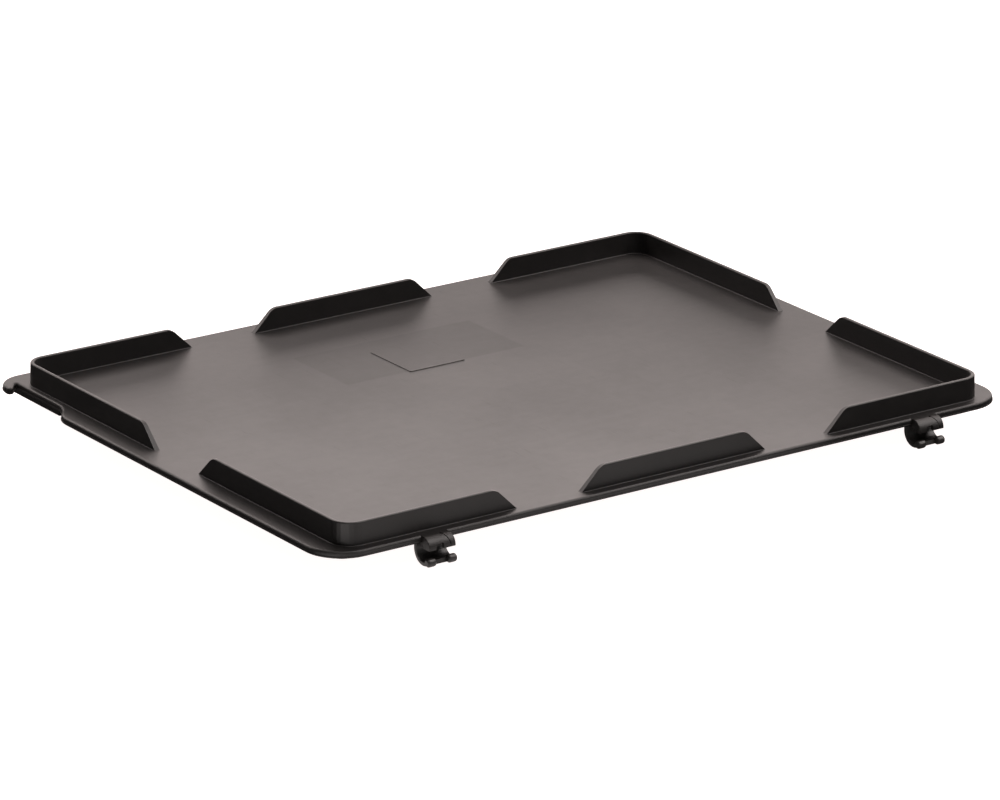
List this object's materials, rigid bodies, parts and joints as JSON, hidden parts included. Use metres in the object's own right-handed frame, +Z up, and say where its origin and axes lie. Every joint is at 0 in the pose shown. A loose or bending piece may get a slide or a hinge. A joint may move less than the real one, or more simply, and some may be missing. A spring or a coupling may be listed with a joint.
{
  "type": "hinged container lid",
  "caption": "Hinged lid for a 400 x 300 mm stacking container in black plastic, with stacking ribs, finger notches in the short sides and hinge clips on one long side",
  "frame": {"origin": "centre of the lid's 400 x 300 mm plan, at the level of the deck's upper face", "axes": "+X along the long side, +Y away from the hinge side, +Z up out of the deck"},
  "size_m": [0.4, 0.3079, 0.0248],
  "materials": {
    "panel_plastic": "fine-grained injection-moulded black plastic",
    "link_plastic": "smooth injection-moulded black plastic",
    "pin_plastic": "smooth black plastic rod"
  },
  "bodies": {
    "lid": {"lid_panel": "panel_plastic", "hinge_pin_left": "pin_plastic", "hinge_pin_right": "pin_plastic"},
    "link_left": {"hinge_link_left": "link_plastic"},
    "link_right": {"hinge_link_right": "link_plastic"}
  },
  "joints": [
    {"name": "link_left_hinge", "type": "hinge", "parent": "lid", "child": "link_left", "pos_m": [-0.1416, -0.151, -0.004], "axis": [-1, 0, 0], "range_deg": [0, 90]},
    {"name": "link_right_hinge", "type": "hinge", "parent": "lid", "child": "link_right", "pos_m": [0.1466, -0.151, -0.004], "axis": [-1, 0, 0], "range_deg": [0, 90]}
  ]
}
